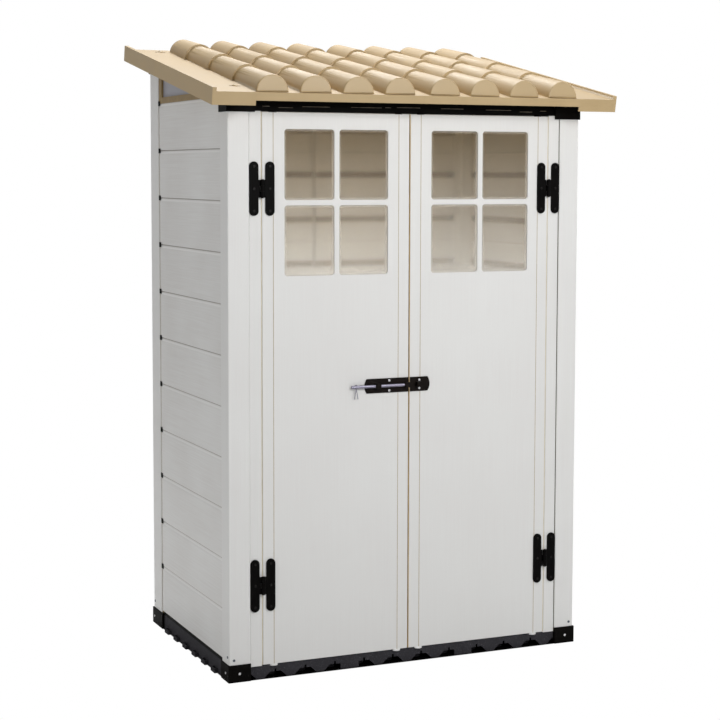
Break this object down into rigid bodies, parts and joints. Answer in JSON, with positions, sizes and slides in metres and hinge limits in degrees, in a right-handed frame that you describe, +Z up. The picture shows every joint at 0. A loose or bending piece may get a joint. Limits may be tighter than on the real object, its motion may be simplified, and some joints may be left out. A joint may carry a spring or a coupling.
{
  "type": "garden shed",
  "caption": "Narrow garden shed with a single-slope tiled roof, hollow plank walls, a tiled floor and a pair of part-glazed hinged doors with a sliding bolt.",
  "frame": {"origin": "on the ground, under the middle of the body's footprint, taken over the corner posts", "axes": "+X to the right seen from the door side, -Y towards the door side, +Z up"},
  "size_m": [1.38, 0.9444, 2.0277],
  "materials": {
    "floor_plastic": "coarse matte moulded plastic, dark grey",
    "black_plastic": "matte moulded plastic, black",
    "tan_trim": "matte moulded plastic, tan",
    "roof_plastic": "satin moulded plastic, tan",
    "gable_plastic": "satin plastic sheet, pale grey",
    "pane_plastic": "clear plastic sheet",
    "white_cap_plastic": "glossy white plastic",
    "black_painted_steel": "satin black powder-coated steel",
    "pin_steel": "blackened steel",
    "bright_steel": "zinc-plated steel",
    "wall_plastic": "satin off-white plastic with a faint wood grain"
  },
  "bodies": {
    "shed_frame": {"floor_tile_front_left": "floor_plastic", "floor_tile_front_middle": "floor_plastic", "floor_tile_front_right": "floor_plastic", "floor_tile_rear_left": "floor_plastic", "floor_tile_rear_middle": "floor_plastic", "floor_tile_rear_right": "floor_plastic", "bottom_corner_front_left": "black_plastic", "bottom_corner_front_right": "black_plastic", "bottom_corner_rear_left": "black_plastic", "bottom_corner_rear_right": "black_plastic", "post_front_left": "wall_plastic", "post_front_right": "wall_plastic", "post_rear_left": "wall_plastic", "post_rear_right": "wall_plastic", "post_rear_centre": "wall_plastic", "wall_sills": "black_plastic", "left_wall_planks": "wall_plastic", "right_wall_planks": "wall_plastic", "rear_left_planks": "wall_plastic", "rear_right_planks": "wall_plastic", "wall_end_strips": "tan_trim", "plank_joint_clips": "black_plastic", "top_corner_front_left": "black_plastic", "top_corner_front_right": "black_plastic", "top_corner_rear_left": "black_plastic", "top_corner_rear_right": "black_plastic", "jamb_left": "wall_plastic", "jamb_right": "wall_plastic", "jamb_seals": "tan_trim", "front_lintel": "black_plastic", "rear_top_rail": "tan_trim", "roof_joint_beam": "wall_plastic", "gable_frames": "tan_trim", "gable_panels": "gable_plastic", "roof_panel_left": "roof_plastic", "roof_panel_right": "roof_plastic", "roof_screws": "bright_steel", "frame_screws": "bright_steel", "jamb_hinge_leaves": "black_painted_steel", "jamb_hinge_screws": "black_painted_steel", "hinge_pins": "pin_steel"},
    "left_door": {"left_door_panel": "wall_plastic", "left_door_hinge_stile": "wall_plastic", "left_door_lock_stile": "wall_plastic", "left_door_panes": "pane_plastic", "left_door_caps": "white_cap_plastic", "left_door_hinge_leaves": "black_painted_steel", "left_door_screws": "bright_steel", "latch_plate": "black_painted_steel"},
    "right_door": {"right_door_panel": "wall_plastic", "right_door_hinge_stile": "wall_plastic", "right_door_lock_stile": "wall_plastic", "right_door_panes": "pane_plastic", "right_door_caps": "white_cap_plastic", "right_door_hinge_leaves": "black_painted_steel", "right_door_screws": "bright_steel", "meeting_strip": "tan_trim", "keeper_plate": "black_painted_steel"},
    "bolt": {"latch_rod": "bright_steel", "latch_split_pin": "bright_steel"}
  },
  "joints": [
    {"name": "left_door_swing", "type": "hinge", "parent": "shed_frame", "child": "left_door", "pos_m": [-0.4985, -0.4035, 0.911], "axis": [0, 0, -1], "range_deg": [0, 170]},
    {"name": "right_door_swing", "type": "hinge", "parent": "shed_frame", "child": "right_door", "pos_m": [0.4985, -0.4035, 0.911], "axis": [0, 0, 1], "range_deg": [0, 170]},
    {"name": "bolt_slide", "type": "slide", "parent": "left_door", "child": "bolt", "axis": [1, 0, 0], "range_m": [0, 0.062]}
  ]
}
